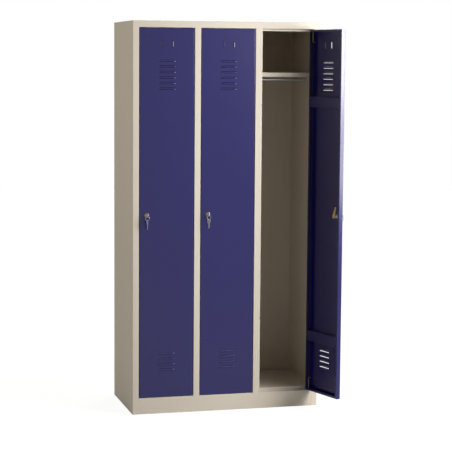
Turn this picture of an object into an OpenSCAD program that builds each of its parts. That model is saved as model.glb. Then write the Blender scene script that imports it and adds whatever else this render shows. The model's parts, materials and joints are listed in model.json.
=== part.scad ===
// Three-door steel locker cabinet on a plinth, with cam locks, keys, hat shelves and hanging rails.
// Origin: centre of the base on the floor. +X right, +Y towards the back, +Z up. Millimetres.

/* [Cabinet] */
// Overall width across the side panels
body_w = 890; // [780:1:1200]
// Overall depth from the front frame to the back panel
body_d = 450; // [350:1:600]
// Overall height
body_h = 1800; // [1700:1:2100]
// Thickness of the folded carcass sheet
sheet = 1.0; // [0.8:0.1:1.5]
// Inside radius of every fold in the carcass
fold_r = 1.2; // [0.8:0.1:2]
// Width of the front face of each upright post
post_w = 29; // [26:0.5:40]
// Height of the front rail under the top panel
rail_h = 30; // [24:1:60]
// Height of the plinth below the doors
plinth_h = 75; // [60:1:140]
// Depth of the rebate that the doors close into
rebate_d = 23.5; // [23:0.5:30]
// Width of the stop lip around each door opening
lip_w = 10; // [8:0.5:14]
// Height of the stop lip above the plinth
riser_h = 15; // [12:1:25]
// How far the floor lies below the top of that lip
floor_drop = 5; // [3:0.5:8]
// Width of the flanges that join the panels at the back and below
flange_w = 15; // [12:1:20]
// Inset of the back panel from the outline
back_inset = 2; // [0:0.5:4]

/* [Base] */
// Depth of the flange that turns in under the plinth
foot_w = 12; // [10:1:20]
// Width of the rail under the middle of the floor
base_rail_w = 40; // [30:1:80]

/* [Wall fixing] */
// Distance between the two fixing holes in the back panel
wall_hole_span = 500; // [400:10:640]
// Distance of the fixing holes below the top
wall_hole_drop = 100; // [60:1:160]
// Diameter of a fixing hole
wall_hole_d = 8; // [6:0.5:10]

/* [Shelf and hanging rail] */
// Distance from the cabinet's top to the top of the hat shelf
shelf_drop = 230; // [200:1:400]
// Set-back of the shelf's front edge from the front frame
shelf_setback = 45; // [40:1:80]
// Height of the shelf's front fold
shelf_front_h = 20; // [15:1:30]
// Depth of the hem under the shelf's front fold
shelf_hem = 8; // [5:1:12]
// Outside diameter of the hanging rail
rail_d = 15; // [12:0.5:20]
// Wall of the hanging rail's tube
rail_wall = 1.2; // [1:0.1:2]
// Gap between the shelf's front fold and the top of the hanging rail
rail_gap = 6; // [6:0.5:20]
// Set-back of the hanging rail's axis from the front frame
rail_setback = 235; // [150:1:260]
// Diameter of the rail socket's base plate
socket_flange_d = 27; // [24:1:30]
// Depth of the rail socket
socket_depth = 9; // [6:0.5:14]
// Wall of the rail socket's cup
socket_wall = 2; // [1.5:0.1:3]

/* [Doors] */
// Gap between a door and the posts
gap_side = 2.5; // [2.5:0.1:4]
// Gap above and below a door
gap_end = 2; // [1.5:0.1:4]
// Depth of the door tray from front to back
door_t = 21.5; // [18:0.5:22]
// Thickness of the door sheet
door_sheet = 1.0; // [0.8:0.1:1.2]
// Outer radius of the folds around the door
door_fold_r = 1.8; // [1.5:0.1:2.5]
// Width of the lip that returns around the back of the door
door_lip = 11; // [9:0.5:14]
// Opening angle of the right-hand door as it stands
door_3_open = 106.5; // [90:0.5:110]

/* [Hinge pins] */
// Distance of the hinge axis from the door's hinge edge
pin_inset = 7.5; // [7:0.5:9]
// Distance of the hinge axis behind the door's face
pin_depth = 7; // [6:0.5:7.5]
// Diameter of the bent hinge pin
pin_d = 6; // [5:0.5:7]
// Length of the pin inside the door
pin_len = 58; // [45:1:80]
// Length of the pin's bent arm
pin_arm = 15; // [12:1:20]
// How far the pin passes beyond the frame sheet
pin_reach = 7; // [5:0.5:10]
// Radial clearance between a pin and its hole
pin_clear = 0.06; // [0.03:0.01:0.1]
// Outside diameter of the spacer washer on each pin
washer_d = 11; // [10:0.5:12]

/* [Louvres] */
// Length of a louvre
louvre_l = 78; // [50:1:100]
// Outer radius of a louvre's hood
louvre_r = 8; // [7:0.5:9]
// How far a hood stands out of the door
louvre_out = 4.5; // [3:0.1:6]
// Open slot below a hood
louvre_slot = 1.5; // [1:0.1:3]
// How far the louvres and card clips stand off the door's middle, towards its hinges
pressing_shift = 2; // [0:0.5:4]
// Spacing of the louvres
louvre_pitch = 25; // [20:0.5:35]
// Louvres in the upper group
louvres_top = 6; // [3:1:8]
// Louvres in the lower group
louvres_bottom = 4; // [2:1:6]
// Distance from the door's top to its first upper louvre
louvre_top_drop = 150; // [120:1:200]
// Distance from the door's bottom to its last lower louvre
louvre_bottom_rise = 126; // [80:1:200]

/* [Card holder] */
// Distance between the two pressed card clips
card_span = 47; // [40:1:60]
// Length of a card clip
card_l = 32; // [25:1:45]
// Outer radius of a card clip
card_r = 5; // [4:0.5:6]
// How far a card clip stands out of the door
card_out = 3.2; // [2:0.1:4]
// Distance from the door's top to the middle of the card clips
card_drop = 72; // [55:1:80]

/* [Stiffeners] */
// Height of each stiffener across the inside of the door
stiff_h = 50; // [40:1:70]
// Width of a stiffener's welding flanges
stiff_flange = 9; // [8:1:12]
// Distance from the door's top to the upper stiffener
stiff_top_drop = 307; // [300:1:360]
// Distance from the door's bottom to the lower stiffener
stiff_bottom_rise = 238; // [232:1:300]

/* [Door buffers] */
// Diameter of a rubber buffer on the stop lip
buffer_d = 7; // [6:0.5:8]
// Diameter of the buffer's stem through the lip
buffer_stem_d = 3.6; // [3:0.1:4]
// Gap between a closed door and its buffers
buffer_gap = 0.4; // [0.3:0.1:1]
// Distance of the buffers from the ends of the opening
buffer_inset = 350; // [100:1:500]

/* [Locks] */
// Distance of the lock's axis from the door's free edge
lock_inset = 33; // [30:0.5:34]
// Height of the locks above the floor
lock_z = 920; // [800:1:1200]
// Diameter of the lock's front flange
lock_flange_d = 22; // [20:0.5:26]
// Thickness of the lock's front flange
lock_flange_t = 2.5; // [2:0.1:4]
// Diameter of the lock's barrel
lock_d = 16; // [15:0.5:18]
// Diameter of the turning plug
plug_d = 11; // [10:0.5:12]
// Radial clearance between moving lock parts
lock_clear = 0.05; // [0.03:0.01:0.1]
// Width across the flats of the lock's nut
nut_af = 21; // [20:0.5:24]
// Thickness of the lock's nut
nut_t = 3.5; // [3:0.1:5]
// Clearance between the stop lip and the cam
cam_clear = 1.6; // [1.2:0.1:2.5]
// Thickness of the cam
cam_t = 2.2; // [2:0.1:3]
// Length of the cam from the lock's axis to its rounded end
cam_l = 41; // [38:0.5:42]
// Radius of the cam around the plug
cam_hub_r = 9; // [8:0.5:10]
// Radius of the cam's end
cam_end_r = 3; // [2:0.5:4]
// Sideways lean of the cam's end towards the door's free edge
cam_lean = 13; // [0:0.5:15]
// Side of the square that drives the cam
square_w = 7; // [6:0.1:7.5]
// Diameter of the cam screw's head
screw_head_d = 8.4; // [7:0.1:9]
// Diameter of the cam screw's shank
screw_d = 3.2; // [3:0.1:4]
// Length of the cam screw's shank inside the plug
screw_l = 5; // [4:0.5:6]

/* [Keys] */
// Thickness of a key
key_t = 2.1; // [1.8:0.1:2.4]
// Radius of the key's bow
bow_r = 9; // [8:0.5:10]
// Length by which the bow is drawn out
bow_stretch = 4; // [2:0.5:6]
// Radius of the ends of the hole in the bow
bow_hole_r = 3.25; // [3:0.05:3.5]
// Sideways stretch of that hole
bow_hole_stretch = 2.5; // [2:0.5:3]
// Width of the key's shoulder
shoulder_w = 10; // [8:0.5:11]
// Length of the key's shoulder
shoulder_l = 3; // [2:0.5:5]
// Width of the key's blade
blade_w = 7; // [6:0.1:7.5]
// Length of the key's blade
blade_l = 21; // [18:0.5:22]
// Clearance around the blade in its keyway
keyway_clear = 0.12; // [0.1:0.01:0.25]
// Gap between the lock's face and the key's shoulder
key_gap = 0.5; // [0.3:0.1:2]
// Mean radius of the split ring
ring_r = 9; // [8.5:0.5:12]
// Diameter of the ring's wire
ring_wire = 1.6; // [1.4:0.1:1.8]
// Gap left where the ring and a key hang on each other
ring_gap = 0.3; // [0.25:0.05:0.4]

/* [Hidden] */
BAYS = 3;
FRAME = "#d0c8b2";
DOOR = "#35327a";
STEEL = "#b9bbbd";
BRASS = "#b8964f";
RUBBER = "#2a2a2c";
BEND_STEPS = 4;      // flats along each fold
BORE_FN = 48;        // round holes and shafts
FREE = 0.2;          // overrun of a cutting tool past the face it cuts

function numbered(name) = [for (i = [1:BAYS]) str(name, "_", i)];

// Outline of the cabinet
x_left = -body_w / 2;
y_front = -body_d / 2;
y_back = body_d / 2;
bay_w = (body_w - (BAYS + 1) * post_w) / BAYS;
opening_z0 = plinth_h;
opening_z1 = body_h - rail_h;
y_lip = y_front + rebate_d;              // front of the posts' stop lips
y_lap = y_lip + sheet;                   // rail and plinth lips lie behind them
y_inner = y_lap + sheet;                 // where the free interior begins
y_flange = y_back - sheet;               // rear face of the joining flanges
y_rear = y_flange - sheet - fold_r;      // rear edge of the shelves and the floor
floor_z = plinth_h + riser_h - floor_drop;
base_rail_z = plinth_h - flange_w;       // underside of the floor's flanges

// Interior sides of each bay
function opening_x(i) = x_left + post_w + i * (bay_w + post_w);
function partition_x(i) = opening_x(i) - post_w / 2;
function inner_x0(i) = i == 0 ? x_left + sheet : partition_x(i);
function inner_x1(i) = i == BAYS - 1 ? -x_left - sheet : partition_x(i + 1) - sheet;

shelf_z = body_h - shelf_drop;
rail_z = shelf_z - shelf_front_h - rail_gap - rail_d / 2;
rail_y = y_front + rail_setback;

// Doors
door_w = bay_w - 2 * gap_side;
door_z0 = opening_z0 + gap_end;
door_h = opening_z1 - opening_z0 - 2 * gap_end;
pin_x = door_w - pin_inset;              // hinge axis in a door's own frame
pressing_x = door_w / 2 + pressing_shift;  // middle of the louvres and the card clips
function door_angle(i) = i == BAYS - 1 ? door_3_open : 0;
washer_t = gap_end - 0.4;
lug_t = 1.2;                             // lug that carries a hinge pin's arm
lug_gap = 0.1;
lug_relief = 2;                          // lugs keep clear of the pins' bends

// Lock, measured backwards from the door's face
cam_y0 = rebate_d + sheet + cam_clear;
cam_y1 = cam_y0 + cam_t;
housing_recess = 2.5;                    // the housing ends this far in front of the cam
housing_y1 = cam_y0 - housing_recess;
plug_y0 = -lock_flange_t + 0.6;
plug_y1 = cam_y0 - 0.1;
screw_head_t = 1.6;
screw_slot_t = 0.8;                      // depth of the slot in the cam screw's head

// Key, measured along the blade from the centre of the bow's outer circle
bow_hole_u = -3.5;
shoulder_u = bow_stretch + bow_r - 1;
blade_u = shoulder_u + shoulder_l;
key_y0 = -lock_flange_t - key_gap - blade_u;   // centre of the inserted key's bow
ring_y = key_y0 + bow_hole_u;
ring_top_z = -(bow_hole_r + bow_hole_stretch / 2) + ring_wire / 2 + ring_gap;
ring_z = ring_top_z - ring_r;
spare_hole_z = ring_z - ring_r - bow_hole_r + ring_wire / 2 + ring_gap;
SPARE_YAW = [58, -58, -38];              // how each spare key has come to hang on its ring

// ---------- folded sheet ----------

function unit(a, b) = (b - a) / norm(b - a);
function right_of(d) = [d[1], -d[0]];
function turned(v, a) = [v[0] * cos(a) - v[1] * sin(a), v[0] * sin(a) + v[1] * cos(a)];

// Points along the fold at corner i, on the side that lies off from the visible one
function fold_points(path, i, t, r, off) =
    let (
        d0 = unit(path[i - 1], path[i]),
        d1 = unit(path[i], path[i + 1]),
        n0 = right_of(d0),
        n1 = right_of(d1),
        angle = atan2(d0[0] * d1[1] - d0[1] * d1[0], d0 * d1),
        side = angle > 0 ? 1 : -1,
        corner_r = side > 0 ? r : r + t,
        radius = side > 0 ? r + off : r + t - off,
        centre = path[i] - side * corner_r * (n0 + n1) / (1 + n0 * n1)
    )
    [for (k = [0:BEND_STEPS]) centre + side * radius * turned(n0, angle * k / BEND_STEPS)];

function sheet_side(path, t, r, off) =
    let (last = len(path) - 1)
    concat(
        [path[0] + off * right_of(unit(path[0], path[1]))],
        [for (i = [1:last - 1]) each fold_points(path, i, t, r, off)],
        [path[last] + off * right_of(unit(path[last - 1], path[last]))]);

function reversed(list) = [for (i = [len(list) - 1:-1:0]) list[i]];

// Section of a folded sheet: path is its visible side, and the sheet lies to the right of it
module folded(path, t = sheet, r = fold_r) {
    polygon(concat(sheet_side(path, t, r, 0), reversed(sheet_side(path, t, r, t))));
}

// Section of the weld that fills the groove in front of fold i
module weld(path, i) {
    polygon(concat([path[i]], fold_points(path, i, sheet, fold_r, 0)));
}

// Lays a (y, z) section across the cabinet from x0 to x1
module across(x0, x1) {
    translate([x0, 0, 0]) rotate([90, 0, 90]) linear_extrude(height = x1 - x0) children();
}

// Stands an (x, y) section up from z0 to z1
module upright(z0, z1) {
    translate([0, 0, z0]) linear_extrude(height = z1 - z0) children();
}

module block(p0, p1) {
    translate(p0) cube(p1 - p0);
}

// Rectangle with rounded corners, drawn as one outline
function round_rect(p0, p1, r) = [
    for (q = [[p1[0] - r, p1[1] - r, 0], [p0[0] + r, p1[1] - r, 90],
              [p0[0] + r, p0[1] + r, 180], [p1[0] - r, p0[1] + r, 270]])
        for (k = [0:BEND_STEPS])
            let (a = q[2] + 90 * k / BEND_STEPS) [q[0] + r * cos(a), q[1] + r * sin(a)]];

// ---------- carcass ----------

// Heights at which the stop lips give way to the folds of the rail and the plinth
LIP_ENDS = [[-FREE, opening_z0 + fold_r + 0.1], [opening_z1 - fold_r - 0.1, body_h]];

// Left side with its front post and stop lip; the rail is welded to the post flush
module side_panel() {
    x_open = x_left + post_w;
    path = [[x_open + lip_w, y_lip], [x_open, y_lip], [x_open, y_front], [x_left, y_front],
            [x_left, y_flange], [x_left + flange_w, y_flange]];
    difference() {
        upright(0, body_h - sheet) folded(path);
        for (z = LIP_ENDS)
            block([x_open, y_lip - fold_r, z[0]], [x_open + lip_w + FREE, y_lap + FREE, z[1]]);
    }
    upright(opening_z1, body_h - sheet) weld(path, 2);
    block([x_left, y_inner + flange_w, 0], [x_left + flange_w, y_rear - flange_w, sheet]);
}

module left_side_panel() {
    color(FRAME) difference() {
        side_panel();
        buffer_holes(0);
    }
}

module right_side_panel() {
    color(FRAME) mirror([1, 0, 0]) side_panel();
}

// Sections of the top panel and of the plinth, as (y, z)
TOP_PATH = [[y_lap, opening_z1 - lip_w], [y_lap, opening_z1], [y_front, opening_z1],
            [y_front, body_h], [y_back, body_h]];
PLINTH_PATH = [[y_front + foot_w, 0], [y_front, 0], [y_front, plinth_h], [y_lap, plinth_h],
               [y_lap, plinth_h + riser_h], [y_inner + foot_w - sheet, plinth_h + riser_h]];

// Post between bays i - 1 and i, welded flush to the rail and the plinth
module post(i) {
    x1 = opening_x(i);
    x0 = x1 - post_w;
    color(FRAME) {
        difference() {
            upright(opening_z0, opening_z1)
                folded([[x1 + lip_w, y_lip], [x1, y_lip], [x1, y_front], [x0, y_front],
                        [x0, y_lip], [x0 - lip_w, y_lip]]);
            for (z = LIP_ENDS)
                block([x0 - lip_w - FREE, y_lip - fold_r, z[0]],
                      [x1 + lip_w + FREE, y_lap + FREE, z[1]]);
            buffer_holes(i);
        }
        across(x0 + sheet, x1 - sheet) {
            weld(TOP_PATH, 2);
            weld(PLINTH_PATH, 2);
        }
    }
}

module partition(i) {
    x = partition_x(i);
    x_lap = x - post_w / 2 - lip_w + sheet;
    color(FRAME) difference() {
        upright(floor_z, body_h - sheet)
            folded([[x - flange_w, y_flange], [x, y_flange], [x, y_lap], [x_lap, y_lap]]);
        block([x_lap - FREE, y_lap - FREE, opening_z1 - lip_w], [x + FREE, y_inner, body_h]);
        block([x_lap - FREE, y_lap - FREE, 0],
              [x + FREE, y_inner + foot_w, plinth_h + riser_h]);
    }
}

module back_panel() {
    color(FRAME) difference() {
        block([x_left + back_inset, y_flange, 0],
              [-x_left - back_inset, y_back, body_h - sheet]);
        for (s = [-1, 1])
            translate([s * wall_hole_span / 2, y_back, body_h - wall_hole_drop])
                rotate([90, 0, 0])
                    translate([0, 0, -FREE])
                        cylinder(h = sheet + 2 * FREE, d = wall_hole_d, $fn = BORE_FN);
    }
}

module top_panel() {
    color(FRAME) difference() {
        union() {
            across(x_left + post_w, -x_left - post_w) folded(TOP_PATH);
            for (s = [-1, 1])
                block([s > 0 ? -x_left - post_w : x_left, y_front, body_h - sheet],
                      [s > 0 ? -x_left : x_left + post_w, y_back, body_h]);
        }
        for (i = [0:BAYS - 1]) pin_bore(i, opening_z1);
    }
}

module floor_panel() {
    color(FRAME)
        across(x_left + sheet, -x_left - sheet)
            folded([[y_inner, base_rail_z], [y_inner, floor_z], [y_rear, floor_z],
                    [y_rear, base_rail_z]]);
}

module plinth_front() {
    color(FRAME) difference() {
        across(x_left + post_w, -x_left - post_w) folded(PLINTH_PATH);
        for (i = [0:BAYS - 1]) pin_bore(i, plinth_h - sheet);
    }
}

module plinth_back() {
    color(FRAME)
        across(x_left + flange_w, -x_left - flange_w)
            folded([[y_rear - foot_w, base_rail_z], [y_rear, base_rail_z], [y_rear, 0],
                    [y_rear - foot_w, 0]]);
}

module plinth_centre_rail() {
    w = base_rail_w / 2;
    y0 = y_inner + sheet + fold_r;
    y1 = y_rear - foot_w;
    top_z = floor_z - 2 * sheet;
    color(FRAME)
        translate([0, y1, 0]) rotate([90, 0, 0])
            linear_extrude(height = y1 - y0)
                folded([[w + flange_w, top_z], [w, top_z], [w, 0], [-w, 0], [-w, top_z],
                        [-w - flange_w, top_z]]);
}

module hat_shelf(i) {
    x0 = inner_x0(i);
    x1 = inner_x1(i);
    y0 = y_front + shelf_setback;
    color(FRAME) {
        across(x0, x1)
            folded([[y0 + shelf_hem, shelf_z - shelf_front_h], [y0, shelf_z - shelf_front_h],
                    [y0, shelf_z], [y_rear, shelf_z], [y_rear, shelf_z - flange_w]]);
        for (x = [x0, x1 - sheet])
            block([x, y0 + shelf_hem + sheet, shelf_z - flange_w],
                  [x + sheet, y_rear - 2 * sheet, shelf_z - sheet / 2]);
    }
}

module hanging_rail(i) {
    color(STEEL)
        translate([inner_x0(i) + sheet, rail_y, rail_z]) rotate([0, 90, 0])
            difference() {
                cylinder(h = inner_x1(i) - inner_x0(i) - 2 * sheet, d = rail_d, $fn = BORE_FN);
                translate([0, 0, -FREE])
                    cylinder(h = inner_x1(i) - inner_x0(i), d = rail_d - 2 * rail_wall,
                             $fn = BORE_FN);
            }
}

// One cup with its round base plate, opening towards +Z
module rail_socket() {
    difference() {
        union() {
            cylinder(h = sheet, d = socket_flange_d, $fn = BORE_FN);
            cylinder(h = socket_depth, d = rail_d + 2 * (pin_clear + socket_wall), $fn = BORE_FN);
        }
        translate([0, 0, sheet])
            cylinder(h = socket_depth, d = rail_d + 2 * pin_clear, $fn = BORE_FN);
    }
}

module rail_sockets() {
    color(STEEL)
        for (i = [0:BAYS - 1]) {
            translate([inner_x0(i), rail_y, rail_z]) rotate([0, 90, 0]) rail_socket();
            translate([inner_x1(i), rail_y, rail_z]) rotate([0, -90, 0]) rail_socket();
        }
}

// Rubber buttons on the stop lip at the lock side of every opening
module at_buffers(i) {
    for (z = [opening_z0 + buffer_inset, opening_z1 - buffer_inset])
        translate([opening_x(i) + lip_w / 2 + sheet / 2, y_lip, z]) rotate([90, 0, 0]) children();
}

module buffer_holes(i) {
    at_buffers(i)
        translate([0, 0, -sheet - FREE])
            cylinder(h = sheet + 2 * FREE, d = buffer_stem_d, $fn = BORE_FN);
}

module door_buffers() {
    thick = rebate_d - door_t - buffer_gap;
    color(RUBBER)
        for (i = [0:BAYS - 1]) at_buffers(i) {
            rotate_extrude($fn = BORE_FN)
                polygon([[0, 0], [buffer_d / 2, 0], [buffer_d / 2, thick * 0.6],
                         [buffer_d / 2 - 1, thick], [0, thick]]);
            translate([0, 0, -sheet]) cylinder(h = sheet, d = buffer_stem_d, $fn = BORE_FN);
        }
}

// ---------- doors ----------

// Places children from door i's own frame: x from its free edge, y back from its face, z up
module at_door(i) {
    translate([opening_x(i) + gap_side + pin_x, y_front + pin_depth, door_z0])
        rotate([0, 0, door_angle(i)])
            translate([-pin_x, -pin_depth, 0])
                children();
}

// Running hole for a hinge pin through the frame sheet that starts at height z
module pin_bore(i, z) {
    translate([opening_x(i) + gap_side + pin_x, y_front + pin_depth, z - FREE])
        cylinder(h = sheet + 2 * FREE, d = pin_d + 2 * pin_clear, $fn = BORE_FN);
}

module door_shell(inset, r) {
    intersection() {
        upright(inset, door_h - inset)
            polygon(round_rect([inset, inset], [door_w - inset, door_t - inset], r));
        across(inset, door_w - inset)
            polygon(round_rect([inset, inset], [door_t - inset, door_h - inset], r));
    }
}

// A capsule along +Z of length l, radius r, with its axis behind the door's face
module capsule(l, r) {
    translate([0, 0, r - l / 2]) cylinder(h = l - 2 * r, r = r, $fn = BORE_FN);
    for (s = [-1, 1]) translate([0, 0, s * (l / 2 - r)]) sphere(r = r, $fn = BORE_FN);
}

// Pressed hood in its own frame: it covers y < 0 and opens towards -X
module hood(l, r, out) {
    intersection() {
        difference() {
            translate([0, r - out, 0]) capsule(l, r);
            translate([0, r - out, 0]) capsule(l - 2 * door_sheet, r - door_sheet);
        }
        block([-1, -r, -l], [r + 1, door_sheet, l]);
    }
}

// Opening behind a hood, wider than the hood by its slot
module hood_cut(l, r, out, slot) {
    intersection() {
        translate([0, r - out, 0]) capsule(l - 2 * door_sheet, r - door_sheet);
        block([-1 - slot, -r, -l], [r + 1, door_sheet + FREE, l]);
    }
}

function louvre_heights() = concat(
    [for (k = [0:louvres_top - 1]) door_h - louvre_top_drop - k * louvre_pitch],
    [for (k = [0:louvres_bottom - 1]) louvre_bottom_rise + k * louvre_pitch]);

module at_louvres() {
    for (z = louvre_heights())
        translate([pressing_x, 0, z]) rotate([0, -90, 0]) children();
}

module at_card_clips() {
    for (s = [0, 1])
        translate([pressing_x + (s * 2 - 1) * card_span / 2, 0, door_h - card_drop])
            mirror([1 - s, 0, 0]) children();
}

// Round holes for the hinge pins through the door's top and bottom folds
module door_pin_holes() {
    translate([pin_x, pin_depth, -FREE])
        cylinder(h = door_sheet + 2 * FREE, d = pin_d + 2 * pin_clear, $fn = BORE_FN);
    translate([pin_x, pin_depth, door_h - door_sheet - FREE])
        cylinder(h = door_sheet + 2 * FREE, d = pin_d + 2 * pin_clear, $fn = BORE_FN);
}

// Lugs on the door sheet that the arms of the two hinge pins rest on
module pin_lugs() {
    x0 = pin_x - pin_arm + 1;
    x1 = pin_x - pin_d / 2 - lug_relief;
    for (z = [pin_len, door_h - pin_len])
        block([x0, door_sheet / 2, z - pin_d / 2 - lug_gap - lug_t],
              [x1, pin_depth + pin_d / 2, z - pin_d / 2 - lug_gap]);
}

module door(i) {
    color(DOOR) at_door(i) {
        difference() {
            door_shell(0, door_fold_r);
            door_shell(door_sheet, door_fold_r - door_sheet);
            block([door_lip, door_t / 2, door_lip],
                  [door_w - door_lip, door_t + FREE, door_h - door_lip]);
            at_louvres() hood_cut(louvre_l, louvre_r, louvre_out, louvre_slot);
            at_card_clips() hood_cut(card_l, card_r, card_out, louvre_slot);
            door_pin_holes();
            translate([lock_inset, -FREE, lock_z - door_z0]) rotate([-90, 0, 0])
                cylinder(h = door_sheet + 2 * FREE, d = lock_d + 2 * lock_clear, $fn = BORE_FN);
        }
        at_louvres() hood(louvre_l, louvre_r, louvre_out);
        at_card_clips() hood(card_l, card_r, card_out);
        pin_lugs();
    }
}

// Top-hat stiffener under the door's lips, with its lower edge at height z
module stiffener(i, z) {
    y1 = door_t - door_sheet;
    color(DOOR) at_door(i)
        across(door_fold_r, door_w - door_fold_r)
            folded([[2 * door_sheet, z + stiff_h + stiff_flange],
                    [2 * door_sheet, z + stiff_h], [y1, z + stiff_h], [y1, z],
                    [2 * door_sheet, z], [2 * door_sheet, z - stiff_flange]],
                   t = door_sheet);
}

module upper_stiffener(i) {
    stiffener(i, door_h - stiff_top_drop - stiff_h);
}

module lower_stiffener(i) {
    stiffener(i, stiff_bottom_rise);
}

// Bent pin in its own frame: shank along the axis from z = 0 down to -reach, arm at z = pin_len
module hinge_pin(reach) {
    r = pin_d / 2;
    bend = pin_d;
    translate([0, 0, -reach]) cylinder(h = reach + pin_len - bend, r = r, $fn = BORE_FN);
    translate([-bend, 0, pin_len - bend]) rotate([90, 0, 0])
        rotate_extrude(angle = 90, $fn = BORE_FN) translate([bend, 0]) circle(r = r, $fn = BORE_FN);
    translate([-bend, 0, pin_len]) rotate([0, -90, 0])
        cylinder(h = pin_arm - bend, r = r, $fn = BORE_FN);
}

module bottom_hinge_pin(i) {
    color(STEEL) at_door(i)
        translate([pin_x, pin_depth, 0]) hinge_pin(gap_end + pin_reach);
}

module top_hinge_pin(i) {
    color(STEEL) at_door(i)
        translate([pin_x, pin_depth, door_h]) mirror([0, 0, 1]) hinge_pin(gap_end + pin_reach);
}

module hinge_washers() {
    color(STEEL)
        for (i = [0:BAYS - 1])
            for (z = [opening_z0, opening_z1 - washer_t])
                translate([opening_x(i) + gap_side + pin_x, y_front + pin_depth, z])
                    difference() {
                        cylinder(h = washer_t, d = washer_d, $fn = BORE_FN);
                        translate([0, 0, -FREE])
                            cylinder(h = washer_t + 2 * FREE, d = pin_d + 2 * pin_clear,
                                     $fn = BORE_FN);
                    }
}

// ---------- locks and keys ----------

// Places children from a lock's own frame: its axis at the door's face, y backwards
module at_lock(i) {
    at_door(i) translate([lock_inset, 0, lock_z - door_z0]) children();
}

// A round bar along +Y from y0 to y1
module bar_y(y0, y1, d) {
    translate([0, y0, 0]) rotate([-90, 0, 0]) cylinder(h = y1 - y0, d = d, $fn = BORE_FN);
}

module lock_housing(i) {
    color(STEEL) at_lock(i)
        difference() {
            union() {
                bar_y(-lock_flange_t, 0, lock_flange_d);
                bar_y(-FREE, housing_y1, lock_d);
            }
            bar_y(-lock_flange_t - FREE, housing_y1 + FREE, plug_d + 2 * lock_clear);
        }
}

module lock_nut(i) {
    color(STEEL) at_lock(i)
        translate([0, door_sheet, 0]) rotate([-90, 0, 0])
            difference() {
                cylinder(h = nut_t, d = nut_af / cos(30), $fn = 6);
                translate([0, 0, -FREE])
                    cylinder(h = nut_t + 2 * FREE, d = lock_d + 2 * lock_clear, $fn = BORE_FN);
            }
}

module lock_plug(i) {
    keyway_t = key_t + 2 * keyway_clear;
    keyway_h = blade_w + 2 * keyway_clear;
    color(BRASS) at_lock(i)
        difference() {
            union() {
                bar_y(plug_y0, plug_y1, plug_d);
                block([-square_w / 2, plug_y1 - FREE, -square_w / 2],
                      [square_w / 2, cam_y1, square_w / 2]);
            }
            block([-keyway_t / 2, plug_y0 - FREE, -keyway_h / 2],
                  [keyway_t / 2, -lock_flange_t - key_gap + blade_l + keyway_clear, keyway_h / 2]);
            bar_y(cam_y1 - screw_l, cam_y1 + FREE, screw_d);
        }
}

// Tapered cam that hooks behind the stop lip when it is turned across
module lock_cam(i) {
    // straight flanks from the round hub to the round tip
    gap = [-cam_lean, cam_l];
    sideways = [gap[1], -gap[0]] / norm(gap);
    hub_flank = (cam_hub_r - 1) * sideways;
    tip_flank = (cam_end_r - 0.2) * sideways;
    color(BRASS) at_lock(i)
        translate([0, cam_y1, 0]) rotate([90, 0, 0])
            difference() {
                union() {
                    cylinder(h = cam_t, r = cam_hub_r, $fn = BORE_FN);
                    translate([gap[0], gap[1], 0])
                        cylinder(h = cam_t, r = cam_end_r, $fn = BORE_FN);
                    linear_extrude(height = cam_t)
                        polygon([hub_flank, gap + tip_flank, gap - tip_flank, -hub_flank]);
                }
                translate([0, 0, cam_t / 2])
                    cube([square_w + 2 * lock_clear, square_w + 2 * lock_clear, cam_t + 2 * FREE],
                         center = true);
            }
}

module cam_screw(i) {
    color(STEEL) at_lock(i)
        difference() {
            union() {
                bar_y(cam_y1, cam_y1 + screw_head_t, screw_head_d);
                bar_y(cam_y1 - screw_l + 0.3, cam_y1 + FREE, screw_d - 2 * lock_clear);
            }
            block([-screw_head_d, cam_y1 + screw_head_t - screw_slot_t, -0.5],
                  [screw_head_d, cam_y1 + screw_head_t + FREE, 0.5]);
        }
}

// Outline of a key, with its blade along +X and the bow's outer circle at the origin
module key_outline() {
    difference() {
        union() {
            for (u = [0, bow_stretch]) translate([u, 0]) circle(r = bow_r, $fn = BORE_FN);
            translate([0, -bow_r]) square([bow_stretch, 2 * bow_r]);
            translate([shoulder_u - 2, -shoulder_w / 2]) square([shoulder_l + 2, shoulder_w]);
            polygon([[blade_u - 1, -blade_w / 2], [blade_u + blade_l - blade_w / 2, -blade_w / 2],
                     [blade_u + blade_l, 0], [blade_u + blade_l - blade_w / 3, blade_w / 2],
                     [blade_u - 1, blade_w / 2]]);
        }
        translate([bow_hole_u, 0]) {
            for (s = [-1, 1]) translate([0, s * bow_hole_stretch / 2])
                circle(r = bow_hole_r, $fn = BORE_FN);
            square([2 * bow_hole_r, bow_hole_stretch], center = true);
        }
        // bitting cuts of unequal depth
        for (k = [0:3])
            translate([blade_u + 3.5 + 3.6 * k, -blade_w / 2])
                polygon([[-1.8, -FREE], [1.8, -FREE], [0.5, 1 + (k * 2) % 3 * 0.5],
                         [-0.5, 1 + (k * 2) % 3 * 0.5]]);
    }
}

// A key with its blade along +Y, standing on edge
module key_blank() {
    rotate([0, 90, 0]) rotate([0, 0, 90])
        translate([0, 0, -key_t / 2]) linear_extrude(height = key_t) key_outline();
}

module key(i) {
    color(STEEL) at_lock(i) translate([0, key_y0, 0]) key_blank();
}

module key_ring(i) {
    color(STEEL) at_lock(i)
        translate([0, ring_y, ring_z]) rotate([90, 0, 0])
            rotate_extrude($fn = BORE_FN) translate([ring_r, 0])
                circle(d = ring_wire, $fn = BORE_FN);
}

module spare_key(i) {
    color(STEEL) at_lock(i)
        translate([0, ring_y, spare_hole_z]) rotate([0, 0, SPARE_YAW[i]])
            translate([0, 0, bow_hole_u]) rotate([-90, 0, 0]) rotate([0, 90, 0]) key_blank();
}

// ---------- nodes ----------

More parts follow.
